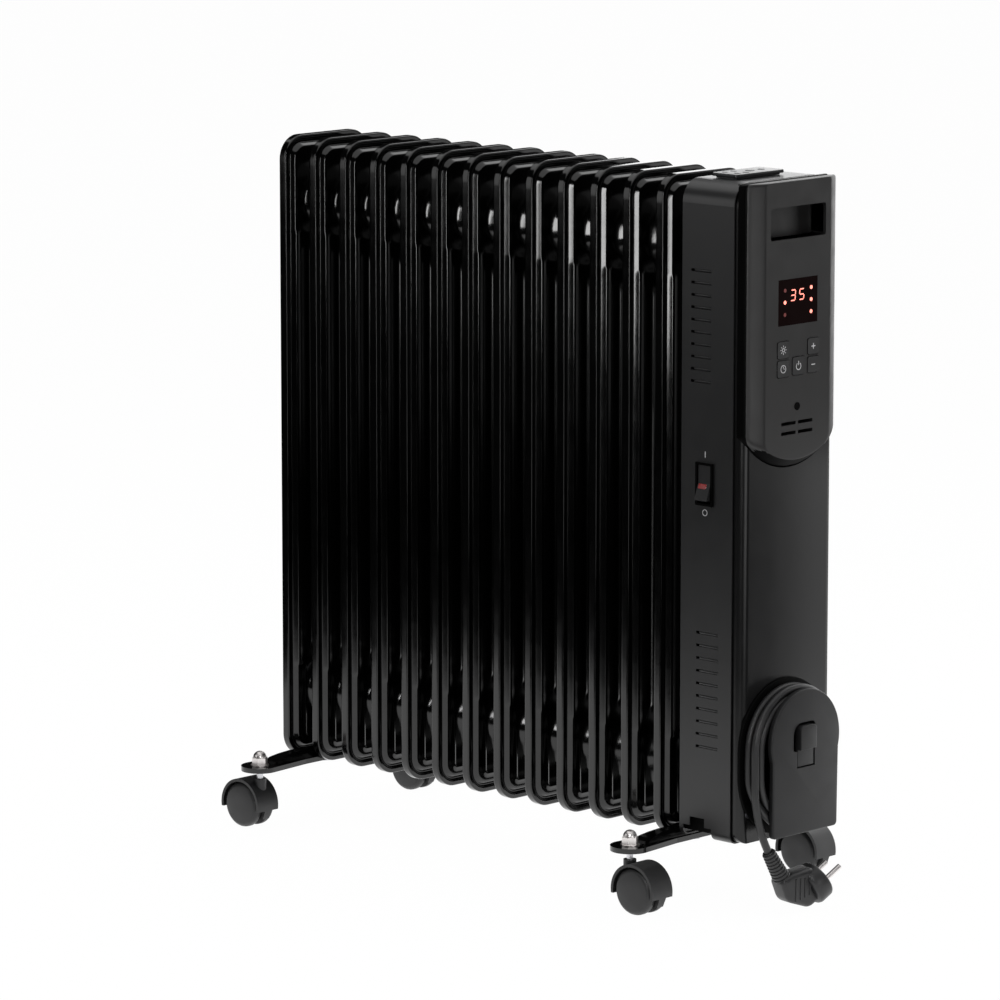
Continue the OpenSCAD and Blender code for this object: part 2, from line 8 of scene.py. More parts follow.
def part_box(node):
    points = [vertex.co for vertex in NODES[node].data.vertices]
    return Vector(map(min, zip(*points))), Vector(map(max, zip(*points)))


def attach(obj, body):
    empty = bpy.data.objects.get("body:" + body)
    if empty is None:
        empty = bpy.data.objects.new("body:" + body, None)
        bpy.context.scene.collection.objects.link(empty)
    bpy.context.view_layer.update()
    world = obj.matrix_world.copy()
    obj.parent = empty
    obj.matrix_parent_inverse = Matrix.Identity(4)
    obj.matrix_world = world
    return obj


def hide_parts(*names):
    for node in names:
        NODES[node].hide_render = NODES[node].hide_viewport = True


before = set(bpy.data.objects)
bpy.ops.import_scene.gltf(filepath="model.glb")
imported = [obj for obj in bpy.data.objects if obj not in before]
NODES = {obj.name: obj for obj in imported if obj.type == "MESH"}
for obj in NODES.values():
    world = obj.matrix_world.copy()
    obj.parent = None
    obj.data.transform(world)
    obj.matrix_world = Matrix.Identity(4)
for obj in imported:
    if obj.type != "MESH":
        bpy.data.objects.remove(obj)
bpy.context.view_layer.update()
MM = 0.001

# Places in the frame, in millimetres, that the pieces below follow
BOX_TOP = 640.0
BOX_BACK_X = 212.0
SHELL_X = 271.0
FRONT_X = 291.0
SHELL_HALF_W = 61.0
PLATE_X = 300.0
REEL_Z = 152.0
HEADER_Z = {"upper": 578.5, "lower": 116.5}
WHEEL_R = 21.0


# Camera ---------------------------------------------------------------------

VIEW_AZIMUTH = math.radians(43.95)
VIEW_ELEVATION = math.radians(9.65)
cam_data = bpy.data.cameras.new("camera")
cam_data.lens = 201.8
cam_data.sensor_width = 36.0
cam_data.clip_start = 0.1
cam_data.clip_end = 100.0
camera = bpy.data.objects.new("camera", cam_data)
bpy.context.scene.collection.objects.link(camera)
camera.location = (3.4265, -3.6220, 1.1752)
camera.rotation_euler = (math.pi / 2 - VIEW_ELEVATION, 0.0, VIEW_AZIMUTH)
bpy.context.scene.camera = camera
bpy.context.scene.view_settings.view_transform = "Standard"


# Mesh helpers (all lengths in millimetres) ------------------------------------

def link(obj):
    bpy.context.scene.collection.objects.link(obj)
    return obj


def make(name, verts, faces, mat, body="heater", slot=None, angle=32.0):
    """A smooth shaded piece that rides on a body."""
    mesh = bpy.data.meshes.new(name)
    mesh.from_pydata([Vector(v) * MM for v in verts], [], faces)
    bm = bmesh.new()
    bm.from_mesh(mesh)
    bmesh.ops.remove_doubles(bm, verts=bm.verts, dist=1e-6)
    bmesh.ops.recalc_face_normals(bm, faces=bm.faces)
    bm.to_mesh(mesh)
    bm.free()
    mesh.materials.append(mat)
    mesh.shade_smooth()
    mesh.set_sharp_from_angle(angle=math.radians(angle))
    obj = link(bpy.data.objects.new(name, mesh))
    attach(obj, body)
    return obj


def join_parts(parts):
    verts, faces = [], []
    for v, f in parts:
        n = len(verts)
        verts += v
        faces += [tuple(i + n for i in face) for face in f]
    return verts, faces


def moved(part, matrix):
    return [tuple(matrix @ Vector(v)) for v in part[0]], part[1]


def loft(rings, closed_ends=True):
    n = len(rings[0])
    verts = [p for ring in rings for p in ring]
    faces = []
    for k in range(len(rings) - 1):
        for i in range(n):
            j = (i + 1) % n
            faces.append((k * n + i, k * n + j, (k + 1) * n + j, (k + 1) * n + i))
    if closed_ends:
        faces.append(tuple(reversed(range(n))))
        faces.append(tuple(range((len(rings) - 1) * n, len(rings) * n)))
    return verts, faces


def lathe(profile, n=48):
    """Profile is (along, radius) pairs; the axis is X."""
    rings = []
    for a, r in profile:
        rings.append([(a, r * math.cos(2 * math.pi * i / n), r * math.sin(2 * math.pi * i / n))
                      for i in range(n)])
    return loft(rings)


def rounded(points, radius, steps=6):
    """Outline with each corner rounded; radius is one number or one for each point."""
    out = []
    n = len(points)
    for i, p in enumerate(points):
        rad = radius[i] if isinstance(radius, (list, tuple)) else radius
        p = Vector(p)
        a = Vector(points[i - 1])
        b = Vector(points[(i + 1) % n])
        da = (a - p).normalized()
        db = (b - p).normalized()
        half = da.angle(db) / 2
        cut = min(rad / math.tan(half), (a - p).length * 0.49, (b - p).length * 0.49)
        rad = cut * math.tan(half)
        if rad < 1e-4:
            out.append(tuple(p))
            continue
        centre = p + (da + db).normalized() * (rad / math.sin(half))
        v0 = p + da * cut - centre
        v1 = p + db * cut - centre
        total = v0.angle(v1)
        sign = 1 if v0.cross(v1) > 0 else -1
        for k in range(steps + 1):
            t = sign * total * k / steps
            out.append((centre.x + v0.x * math.cos(t) - v0.y * math.sin(t),
                        centre.y + v0.x * math.sin(t) + v0.y * math.cos(t)))
    return out


def inset_outline(points, d):
    """Moves each point of a smooth convex-ish outline inwards by d."""
    n = len(points)
    area = sum(points[i][0] * points[(i + 1) % n][1] - points[(i + 1) % n][0] * points[i][1]
               for i in range(n))
    s = 1 if area > 0 else -1
    out = []
    for i in range(n):
        p0, p, p1 = Vector(points[i - 1]), Vector(points[i]), Vector(points[(i + 1) % n])
        e0 = (p - p0)
        e1 = (p1 - p)
        e0 = e0.normalized() if e0.length > 1e-6 else e1.normalized()
        e1 = e1.normalized() if e1.length > 1e-6 else e0
        n0 = Vector((-e0.y, e0.x)) * s
        n1 = Vector((-e1.y, e1.x)) * s
        m = (n0 + n1)
        m = m / max(0.3, m.length_squared / 2)
        out.append(tuple(p + m * d))
    return out


def prism(outline, lo, hi, edge_lo=0.0, edge_hi=0.0, steps=4):
    """Extrudes an outline from lo to hi with rounded edges; result is (u, v, along)."""
    rings = []
    if edge_lo:
        for k in range(steps + 1):
            t = math.pi / 2 * k / steps
            rings.append((edge_lo * (1 - math.sin(t)), lo + edge_lo * (1 - math.cos(t))))
    else:
        rings.append((0.0, lo))
    if edge_hi:
        for k in range(steps + 1):
            t = math.pi / 2 * k / steps
            rings.append((edge_hi * (1 - math.cos(t)), hi - edge_hi * (1 - math.sin(t))))
    else:
        rings.append((0.0, hi))
    result = []
    for d, a in rings:
        ring = inset_outline(outline, d) if d else outline
        result.append([(p[0], p[1], a) for p in ring])
    return loft(result)


def facing_x(part, at=0.0):
    """(u, v, along) to X along, Y u, Z v."""
    return [(at + a, u, v) for u, v, a in part[0]], part[1]


def facing_y(part, way, at=0.0):
    """(u, v, along) to X u, Z v and Y along, or -Y where way is -1."""
    return [(u, at + way * a, v) for u, v, a in part[0]], part[1]


def rect(u0, u1, v0, v1, r=0.0, steps=5):
    pts = [(u0, v0), (u1, v0), (u1, v1), (u0, v1)]
    return rounded(pts, r, steps) if r else pts


def circle(u, v, r, n):
    return [(u + r * math.cos(2 * math.pi * k / n), v + r * math.sin(2 * math.pi * k / n))
            for k in range(n)]


def arc(u, v, r, degrees):
    return [(u + r * math.cos(math.radians(a)), v + r * math.sin(math.radians(a)))
            for a in degrees]


# Materials --------------------------------------------------------------------

def surface(name, colour, rough, metal=0.0, vary=0.12, rough_vary=0.06, grain=900.0, bump=0.05,
            depth=0.0002, specular=0.5, wave=0.0, wave_scale=30.0):
    """Principled surface with its own variation of colour, roughness and relief."""
    m = bpy.data.materials.new(name)
    m.use_nodes = True
    t = m.node_tree
    t.nodes.clear()
    out = t.nodes.new("ShaderNodeOutputMaterial")
    bsdf = t.nodes.new("ShaderNodeBsdfPrincipled")
    t.links.new(bsdf.outputs[0], out.inputs[0])
    bsdf.inputs["Metallic"].default_value = metal
    bsdf.inputs["Specular IOR Level"].default_value = specular
    where = t.nodes.new("ShaderNodeTexCoord").outputs["Object"]

    def noise(scale, det=2.0, rough_value=0.5):
        n = t.nodes.new("ShaderNodeTexNoise")
        n.inputs["Scale"].default_value = scale
        n.inputs["Detail"].default_value = det
        n.inputs["Roughness"].default_value = rough_value
        t.links.new(where, n.inputs["Vector"])
        return n.outputs["Fac"]

    def ranged(value, lo, hi):
        n = t.nodes.new("ShaderNodeMapRange")
        n.clamp = False
        n.inputs["From Min"].default_value = 0.25
        n.inputs["From Max"].default_value = 0.75
        n.inputs["To Min"].default_value = lo
        n.inputs["To Max"].default_value = hi
        t.links.new(value, n.inputs["Value"])
        return n.outputs["Result"]

    broad = noise(14.0, 4.0, 0.6)
    mix = t.nodes.new("ShaderNodeMix")
    mix.data_type = "RGBA"
    mix.inputs[6].default_value = (*[c * (1 - vary) for c in colour], 1)
    mix.inputs[7].default_value = (*[min(1, c * (1 + vary)) for c in colour], 1)
    t.links.new(ranged(broad, 0.0, 1.0), mix.inputs[0])
    t.links.new(mix.outputs[2], bsdf.inputs["Base Color"])
    t.links.new(ranged(noise(60.0, 3.0), max(0.01, rough - rough_vary), rough + rough_vary),
                bsdf.inputs["Roughness"])
    height = noise(grain, 2.0, 0.6)
    if wave:
        slow = noise(wave_scale, 1.0)
        add = t.nodes.new("ShaderNodeMath")
        add.operation = "MULTIPLY_ADD"
        t.links.new(slow, add.inputs[0])
        add.inputs[1].default_value = wave
        t.links.new(height, add.inputs[2])
        height = add.outputs[0]
    b = t.nodes.new("ShaderNodeBump")
    b.inputs["Strength"].default_value = bump
    b.inputs["Distance"].default_value = depth
    t.links.new(height, b.inputs["Height"])
    t.links.new(b.outputs[0], bsdf.inputs["Normal"])
    return m


def glowing(name, colour, strength, base, specular=0.5):
    m = surface(name, base, 0.25, vary=0.1, grain=1500.0, specular=specular)
    t = m.node_tree
    bsdf = next(n for n in t.nodes if n.type == "BSDF_PRINCIPLED")
    bsdf.inputs["Emission Color"].default_value = (*colour, 1)
    bsdf.inputs["Emission Strength"].default_value = strength
    return m


M = {
    "radiator_paint": surface("gloss_black_enamel", (0.002, 0.002, 0.0021), 0.13, grain=320.0,
                              bump=0.12, depth=0.0001, wave=1.5, wave_scale=22.0, rough_vary=0.04),
    "shell_paint": surface("satin_charcoal_paint", (0.036, 0.036, 0.037), 0.32, grain=1400.0,
                           bump=0.10, depth=0.0001, vary=0.05, rough_vary=0.02),
    "cover_paint": surface("charcoal_cover_paint", (0.016, 0.016, 0.0165), 0.24, grain=1400.0,
                           bump=0.10, depth=0.0001, vary=0.05, rough_vary=0.02, specular=0.35),
    "housing_plastic": surface("charcoal_fine_plastic", (0.030, 0.029, 0.029), 0.42, grain=2200.0,
                               bump=0.12, depth=0.0001, vary=0.05, rough_vary=0.04),
    "key_plastic": surface("key_black_plastic", (0.016, 0.016, 0.017), 0.32, grain=2000.0,
                           bump=0.08, depth=0.0001),
    "reel_plastic": surface("reel_charcoal_plastic", (0.026, 0.026, 0.027), 0.46, grain=2000.0,
                            bump=0.14, depth=0.0001, vary=0.06, specular=0.32),
    "cord_pvc": surface("cord_black_pvc", (0.020, 0.020, 0.021), 0.42, grain=1800.0, bump=0.12,
                        depth=0.0001),
    "window_plastic": glowing("smoked_window", (1.0, 0.03, 0.02), 0.003, (0.001, 0.001, 0.001),
                              specular=0.02),
    "plated_steel": surface("zinc_plated_steel", (0.55, 0.55, 0.57), 0.30, metal=1.0, grain=700.0,
                            bump=0.15, depth=0.0001, vary=0.15),
    "chrome": surface("bright_chrome", (0.70, 0.67, 0.66), 0.32, metal=1.0, grain=400.0,
                      bump=0.04, depth=0.0001, rough_vary=0.04),
    "element_steel": surface("element_steel", (0.42, 0.41, 0.40), 0.38, metal=1.0, grain=500.0,
                             bump=0.2),
    "board": surface("circuit_board", (0.02, 0.12, 0.05), 0.45, grain=500.0, bump=0.2),
    "ceramic": surface("cream_ceramic", (0.72, 0.68, 0.60), 0.5, grain=700.0, bump=0.2),
    "inner_plastic": surface("pale_inner_plastic", (0.55, 0.55, 0.54), 0.5, grain=900.0, bump=0.1),
    "caster_plastic": surface("matt_black_nylon", (0.028, 0.028, 0.029), 0.48, grain=1600.0,
                              bump=0.2, depth=0.0001, vary=0.1),
}
# White print; its faint emission is a painted glow that brightens it beyond the light falling on it
GLOWING_PRINT = glowing("white_print_painted_glow", (0.9, 0.9, 0.92), 0.16, (0.80, 0.80, 0.81))
SCREW = surface("black_screw_steel", (0.10, 0.10, 0.11), 0.45, metal=1.0, grain=900.0, bump=0.2)
# Near-black, barely reflective plastic: the reel's real back flange, and painted shade on dark
# sheets in the reel's core, behind the shell seam and in the foot notches
BLACK_PLASTIC_AND_SHADE = surface("black_plastic_and_painted_shade", (0.0015, 0.0015, 0.0015), 0.6, grain=900.0, bump=0.1,
               specular=0.05)
# Near-black: the real switch bezel and signal sensor, and painted shade on the control housing's
# side wall and chamfer underside
BLACK_TRIM_AND_SHADE = surface("black_trim_and_painted_shade", (0.003, 0.003, 0.003), 0.45, grain=1400.0, bump=0.1,
               specular=0.03)
REMOTE = surface("remote_grey_plastic", (0.040, 0.040, 0.042), 0.30, grain=1600.0, bump=0.08,
                 depth=0.0001, rough_vary=0.03, specular=0.30)
LENS = surface("red_switch_lens", (0.55, 0.03, 0.03), 0.25, grain=900.0, bump=0.1)
LIT = glowing("lit_red_diode", (1.0, 0.26, 0.20), 2.4, (0.30, 0.02, 0.02))
DIM = glowing("dark_red_diode", (0.9, 0.08, 0.05), 0.10, (0.10, 0.012, 0.012))
REMOTE_KEY = surface("soft_grey_rubber", (0.07, 0.07, 0.072), 0.45, grain=1500.0, bump=0.2)

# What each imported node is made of, by the start of its name
NODE_MATERIALS = [
    (M["radiator_paint"], ("fin_", "upper_header", "lower_header", "rear_foot", "front_foot")),
    (M["shell_paint"], ("back_plate", "side_shell")),
    (M["cover_paint"], ("front_cover",)),
    (M["housing_plastic"], ("control_housing", "remote_control")),
    (M["key_plastic"], ("power_key", "mode_key", "timer_key", "plus_key", "minus_key")),
    (M["reel_plastic"], ("reel_", "cord_gland", "rocker")),
    (M["cord_pvc"], ("cord_start", "cord_winding", "cord_tail", "plug_body")),
    (M["window_plastic"], ("display_window",)),
    (M["plated_steel"], ("oil_fill_plug", "element_flange", "foot_u_bolts", "foot_nuts",
                         "caster_stems")),
    (M["chrome"], ("dome_nuts", "plug_pins")),
    (M["element_steel"], ("heating_elements",)),
    (M["board"], ("control_board",)),
    (M["ceramic"], ("terminal_block", "thermal_cutout")),
    (M["inner_plastic"], ("tip_over_switch",)),
    (M["caster_plastic"], ("caster_hood_", "caster_wheels_")),
    (SCREW, ("cover_screws",)),
    (BLACK_TRIM_AND_SHADE, ("switch_bezel", "signal_sensor")),
]
for name, obj in NODES.items():
    for mat, starts in NODE_MATERIALS:
        if name.startswith(starts):
            for material_slot in obj.material_slots:
                material_slot.material = mat


# Cord, wound on the reel and hanging down to its plug -------------------------

CORD_R = 3.5
start_route = [(289, 8, 100), (289, 13, 100), (289, 19, 101.5), (289, 25, 104),
               (289, 30, 108), (288.5, 34.5, 113)]
tail_route = [(296, -56.5, 124), (296, -56.5, 112), (296, -55.5, 101), (296, -53, 90),
              (296, -49.5, 79), (296, -45, 68), (296, -39, 57)]
REEL_Y, REEL_LOW, REEL_HIGH = -5.0, 125.0, 146.0
# Each turn's place (x, radius), and the angles over which it shifts to the next
LAYERS = [(288.25, 44.5), (295.75, 44.5), (288.25, 51.5), (295.75, 51.5)]
SHIFT = [(300, 358), (230, 300), (182, 230)]


def winding():
    pts = []
    for turn in range(4):
        x, r = LAYERS[turn]
        for a in range(0, 181, 12):
            t = math.radians(a)
            pts.append((x, REEL_Y + r * math.cos(t), REEL_HIGH + r * math.sin(t)))
        if turn == 3:
            break
        x1, r1 = LAYERS[turn + 1]
        a0, a1 = SHIFT[turn]
        for a in range(180, 361, 12):
            t = math.radians(a)
            w = min(1.0, max(0.0, (a - a0) / (a1 - a0)))
            w = w * w * (3 - 2 * w)
            rr = r + (r1 - r) * w
            pts.append((x + (x1 - x) * w, REEL_Y + rr * math.cos(t), REEL_LOW + rr * math.sin(t)))
    return pts


def smooth_path(points, steps=3):
    """Catmull-Rom curve through the points."""
    pts = [Vector(p) for p in points]
    out = []
    for i in range(len(pts) - 1):
        p0, p1, p2, p3 = pts[max(i - 1, 0)], pts[i], pts[i + 1], pts[min(i + 2, len(pts) - 1)]
        for k in range(steps):
            t = k / steps
            out.append(0.5 * ((2 * p1) + (p2 - p0) * t + (2 * p0 - 5 * p1 + 4 * p2 - p3) * t * t
                              + (3 * p1 - p0 - 3 * p2 + p3) * t ** 3))
    out.append(pts[-1])
    return out


route = smooth_path(start_route + [(288.3, 38.6, 119.0)] + winding() + tail_route)
cord_curve = bpy.data.curves.new("cord", "CURVE")
cord_curve.dimensions = "3D"
cord_curve.bevel_depth = CORD_R * MM
cord_curve.bevel_resolution = 5
cord_curve.use_fill_caps = True
spline = cord_curve.splines.new("POLY")
spline.points.add(len(route) - 1)
for p, q in zip(spline.points, route):
    p.co = (*(q * MM), 1.0)
spline.use_smooth = True
cord_curve.materials.append(M["cord_pvc"])
cord = link(bpy.data.objects.new("cord", cord_curve))
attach(cord, "heater")
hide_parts("cord_start", "cord_winding", "cord_tail")


# Plug -------------------------------------------------------------------------

PLUG = Matrix.Translation(Vector(tail_route[-1])) @ Matrix.Rotation(math.radians(79), 4, "Z")
FACE = PLUG @ Matrix.Translation((50, 0, -34.5)) @ Matrix.Rotation(math.radians(90 - 32), 4, "Y")
RELIEF = PLUG @ Matrix.Rotation(math.radians(59), 4, "Y")

# Strain relief with nine rings, as (along, radius) pairs
relief_profile = []
for i in range(9):
    a = 1.2 + i * 3.3
    r = 6.2 + 0.24 * i
    relief_profile += [(a, r - 1.0), (a + 0.35, r - 0.25), (a + 0.8, r), (a + 1.7, r),
                       (a + 2.15, r - 0.25), (a + 2.5, r - 1.0)]
relief_profile = [(0, 4.6), (0.6, 5.4)] + relief_profile + [(32, 7.2), (36, 7.6)]
grip_outline = rounded([(8, -26), (22, -21), (44, -18), (54, -46), (40, -54), (16, -46)],
                       [5, 14, 5, 5, 10, 12], 7)
grip = prism(grip_outline, -10, 10, 4.2, 4.2, 5)
grip = facing_y(grip, -1)
ribs = []
for k in range(4):
    h = 23 + k * 5.0
    rib = prism(rounded([(h, -47.0 + 1.5 * k), (h + 1.8, -46.4 + 1.5 * k), (h + 1.8, -25.5),
                         (h, -26.0)], 0.8, 3), -10.7, 10.7, 0.5, 0.5, 2)
    ribs.append(facing_y(rib, -1))
disc_profile = [(-9, 12.5), (-8.2, 15.2), (-6.8, 17.0), (-4.8, 17.9), (4.6, 18.0), (5.9, 17.8),
                (6.7, 17.2), (7.0, 16.2), (7.0, 13.6), (6.4, 13.2), (6.4, 0.0)]
turn_up = Matrix.Rotation(math.radians(-90), 4, "Y")
disc = moved(lathe(disc_profile, 56), FACE @ turn_up)
plug_parts = [moved(lathe(relief_profile, 32), RELIEF), moved(grip, PLUG), disc]
plug_parts += [moved(rib, PLUG) for rib in ribs]
plug = make("plug_moulding", *join_parts(plug_parts), M["cord_pvc"], slot="cord_pvc")
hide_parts("plug_body")


# Fins -------------------------------------------------------------------------

# Half width, half height and corner radius of a fin, and the height of its middle
FIN_W, FIN_H, FIN_R = 54.0, 292.5, 22.0
FIN_Z = 347.5
PITCH = 39.2
FIN_X = [-292.0 + PITCH * i for i in range(13)]
CORNER = [math.tan(math.radians(a)) for a in (0, 7.5, 15, 22.5, 30, 37.5, 45)]
PLATEAU = 7.2
PROFILE_DEPTH = 21.0
# From the rim inwards: (distance from the rim, half thickness)
PROFILE = [(0.0, 0.0), (0.0, 2.0), (0.0, 3.1), (0.12, 3.6), (0.45, 4.0), (1.0, 4.22),
           (1.6, 4.25), (3.0, 4.25), (4.2, 4.2), (5.0, 3.95), (5.6, 3.4), (6.0, 2.95),
           (6.5, 2.8), (7.0, 2.95), (7.4, 3.3), (9.4, 6.3), (9.9, 6.8), (10.5, 7.08),
           (11.3, PLATEAU), (13.0, PLATEAU), (16.2, PLATEAU), (17.2, PLATEAU), (18.0, PLATEAU),
           (18.8, PLATEAU), (20.0, PLATEAU), (PROFILE_DEPTH, PLATEAU)]
# Pressed upright ridges: (distance from the middle, half length)
FLUTES = [(-43.0, 206.0), (-28.5, 186.0), (-14.0, 186.0), (0.0, 186.0), (14.0, 186.0),
          (28.5, 186.0), (43.0, 206.0)]


def flute_height(y, z):
    """How far the ridges raise the pressing at a point."""
    h = 0.0
    for fy, half in FLUTES:
        dz = max(0.0, abs(z) - (half - 3.5))
        d = math.hypot(y - fy, dz) / 3.5
        if d < 1:
            h = max(h, 0.9 * math.cos(math.pi / 2 * d) ** 1.2)
    return h


def fin_side(s):
    """One pressed half of a fin: a grid inside, and rings of the profile round it."""
    inner_w = FIN_W - PROFILE_DEPTH
    cy, cz = FIN_W - FIN_R, FIN_H - FIN_R
    ys = set(round(cy + c, 4) for c in CORNER)
    for fy in (28.5, 14.0, 0.0):
        for o in (-3.5, -2.4, -1.2, 0.0, 1.2, 2.4, 3.5):
            ys.add(round(abs(fy + o), 4))
    ys = sorted(ys | {-v for v in ys})
    zs = set(round(cz + c, 4) for c in CORNER)
    for z in (0, 60, 120, 160, 178, 181, 183, 184.3, 185.4, 186.2, 192, 198, 201, 203, 204.3,
              205.4, 206.2, 211, 218, 226, 234, 242, 250, 257, 263, 267):
        zs.add(float(z))
    zs = sorted(zs | {-v for v in zs})

    def shift(y, z):
        u, v = abs(y) - cy, abs(z) - cz
        if u > 0 and v > 0:
            m = max(u, v)
            k = m / math.hypot(u, v)
            return math.copysign(cy + u * k, y), math.copysign(cz + v * k, z)
        return y, z

    verts, faces, index = [], [], {}
    for j, z in enumerate(zs):
        for i, y in enumerate(ys):
            yy, zz = shift(y, z)
            index[(i, j)] = len(verts)
            verts.append((s * (PLATEAU + flute_height(yy, zz)), yy, zz + FIN_Z))
    ni, nj = len(ys), len(zs)
    for j in range(nj - 1):
        for i in range(ni - 1):
            faces.append((index[(i, j)], index[(i + 1, j)], index[(i + 1, j + 1)],
                          index[(i, j + 1)]))
    border = ([(i, 0) for i in range(ni - 1)] + [(ni - 1, j) for j in range(nj - 1)]
              + [(i, nj - 1) for i in range(ni - 1, 0, -1)] + [(0, j) for j in range(nj - 1, 0, -1)])
    previous = [index[b] for b in border]
    for d, x in reversed(PROFILE[:-1]):
        ring = []
        for i, j in border:
            y, z = ys[i], zs[j]
            u, v = abs(y) - cy, abs(z) - cz
            if u > 0 and v > 0:
                k = (FIN_R - d) / math.hypot(u, v)
                yy, zz = math.copysign(cy + u * k, y), math.copysign(cz + v * k, z)
            elif v < 0 and abs(abs(y) - inner_w) < 1e-6:
                yy, zz = math.copysign(FIN_W - d, y), z
            elif u > 0:
                yy, zz = math.copysign(FIN_W - d, y), z
            else:
                yy, zz = y, math.copysign(FIN_H - d, z)
            low_rib = 0.0
            if 16.2 < d < 20.0 and zz < -205:
                low_rib = 0.9 * min(1.0, (-205 - zz) / 25.0)
            if d > 7:
                low_rib += flute_height(yy, zz) * min(1.0, (d - 7) / 1.5)
            ring.append(len(verts))
            verts.append((s * (x + low_rib), yy, zz + FIN_Z))
        n = len(ring)
        for k in range(n):
            faces.append((previous[k], previous[(k + 1) % n], ring[(k + 1) % n], ring[k]))
        previous = ring
    return verts, faces


fin_verts, fin_faces = join_parts([fin_side(1.0), fin_side(-1.0)])
fin_mesh = None
for i, x in enumerate(FIN_X):
    name = "fin_%d_pressing" % (i + 1)
    if fin_mesh is None:
        fin = make(name, fin_verts, fin_faces, M["radiator_paint"], angle=50.0)
        fin_mesh = fin.data
        fin.location = (x * MM, 0, 0)
    else:
        fin = link(bpy.data.objects.new(name, fin_mesh))
        fin.location = (x * MM, 0, 0)
        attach(fin, "heater")
    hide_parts("fin_%d" % (i + 1))

# Boss pressed out of a fin: (distance along from the fin's middle, radius)
BOSS = [(6.2, 34.6), (7.0, 33.4), (7.6, 32.6), (8.4, 31.7), (9.6, 30.6), (11.2, 29.2),
        (13.4, 27.3), (15.6, 25.3), (17.2, 23.8), (18.2, 22.9), (18.8, 22.6), (19.0, 22.9),
        (19.3, 23.2), (19.6, 23.3)]
for name, z in HEADER_Z.items():
    parts = []
    for x in FIN_X[:-1]:
        left = [(x + a, r) for a, r in BOSS]
        right = [(x + PITCH - a, r) for a, r in reversed(BOSS[:-1])]
        parts.append(moved(lathe(left + right, 72), Matrix.Translation((0, 0, z))))
    last = [(FIN_X[-1] + a, r) for a, r in BOSS[:11]] + [(211.0, 22.0)]
    parts.append(moved(lathe(last, 72), Matrix.Translation((0, 0, z))))
    first = [(FIN_X[0] - 11.5, 8.0), (FIN_X[0] - 11.2, 12.0), (FIN_X[0] - 10.4, 20.0),
             (FIN_X[0] - 9.6, 26.0)] + [(FIN_X[0] - a, r) for a, r in reversed(BOSS[:5])]
    parts.append(moved(lathe(first, 72), Matrix.Translation((0, 0, z))))
    bosses = make(name + "_header_bosses", *join_parts(parts), M["radiator_paint"],
                  slot="radiator_paint", angle=50.0)
    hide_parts(name + "_header_collars")


hexagon = prism(circle(0, HEADER_Z["upper"], 7.6, 6), -308.4, -304.0, 0.9, 0.0, 3)
washer = prism(circle(0, HEADER_Z["upper"], 9.6, 48), -304.6, -303.2, 0.3, 0.0, 2)
oil_plug = make("oil_plug_head", *facing_x(join_parts([hexagon, washer])), M["plated_steel"],
                slot="plated_steel")
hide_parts("oil_fill_plug")


# Control housing ----------------------------------------------------------------

def housing_ring(half_w, low, high):
    """Outline of one layer: straight sides, small upper corners and a round bottom."""
    big, small, top = 75.0, 12.0, 3.0
    cz = low + big - math.sqrt((big - small) ** 2 - (half_w - small) ** 2)
    turn = math.atan2(cz - low - big, half_w - small)
    right = []
    for k in range(7):
        t = math.pi / 2 * (1 - k / 6)
        right.append((half_w - top + top * math.cos(t), high - top + top * math.sin(t)))
    for k in range(1, 6):
        right.append((half_w, high - top + (cz - high + top) * k / 6))
    for k in range(13):
        t = turn * k / 12
        right.append((half_w - small + small * math.cos(t), cz + small * math.sin(t)))
    for k in range(1, 16):
        t = turn + (-math.pi / 2 - turn) * k / 16
        right.append((big * math.cos(t), low + big + big * math.sin(t)))
    return right + [(0.0, low)] + [(-y, z) for y, z in reversed(right)]


def carve(obj, cutters):
    """Cuts closed parts out of an object, and keeps the result as its mesh."""
    made = []
    for k, part in enumerate(cutters):
        mesh = bpy.data.meshes.new("cutter")
        mesh.from_pydata([Vector(v) * MM for v in part[0]], [], part[1])
        bm = bmesh.new()
        bm.from_mesh(mesh)
        bmesh.ops.recalc_face_normals(bm, faces=bm.faces)
        bm.to_mesh(mesh)
        bm.free()
        cutter = link(bpy.data.objects.new("cutter_%d" % k, mesh))
        made.append(cutter)
        mod = obj.modifiers.new("cut_%d" % k, "BOOLEAN")
        mod.operation = "DIFFERENCE"
        mod.solver = "EXACT"
        mod.object = cutter
    bpy.context.view_layer.update()
    seen = obj.evaluated_get(bpy.context.evaluated_depsgraph_get())
    cut = bpy.data.meshes.new_from_object(seen)
    obj.modifiers.clear()
    old = obj.data
    obj.data = cut
    bpy.data.meshes.remove(old)
    for cutter in made:
        mesh = cutter.data
        bpy.data.objects.remove(cutter)
        bpy.data.meshes.remove(mesh)
    obj.data.shade_smooth()
    obj.data.set_sharp_from_angle(angle=math.radians(30))


# Layers of the housing: (behind the front, half width, lowest point, highest point)
LAYER_ROWS = [(17, 59, 390, 639), (11, 58.9, 390.3, 639.4), (9.4, 58.5, 390.8, 639.8),
              (8, 57.5, 391.4, 640), (6.5, 55.9, 392.2, 640), (5, 53.4, 393.2, 640),
              (3.4, 50.3, 394.4, 640), (2, 47.3, 395.6, 640), (1.0, 45.0, 396.4, 640),
              (0.4, 43.4, 397.0, 639.8), (0.1, 42.4, 397.6, 639.4), (0, 41.4, 398.2, 638.9),
              (0, 40.6, 399.0, 638.1)]
rings = [[(FRONT_X - d, y, z) for y, z in housing_ring(w, lo, hi)]
         for d, w, lo, hi in LAYER_ROWS]
housing = make("housing_front", *loft(rings), M["housing_plastic"], slot="housing_plastic")
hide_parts("control_housing")
PAST_FRONT_X = 295
RECESS = rect(-36, 36, 590, 618, 2.0)
DISPLAY = rect(-25.6, 25.6, 515.5, 555.5)
SENSOR = circle(0, 444, 3.5, 32)
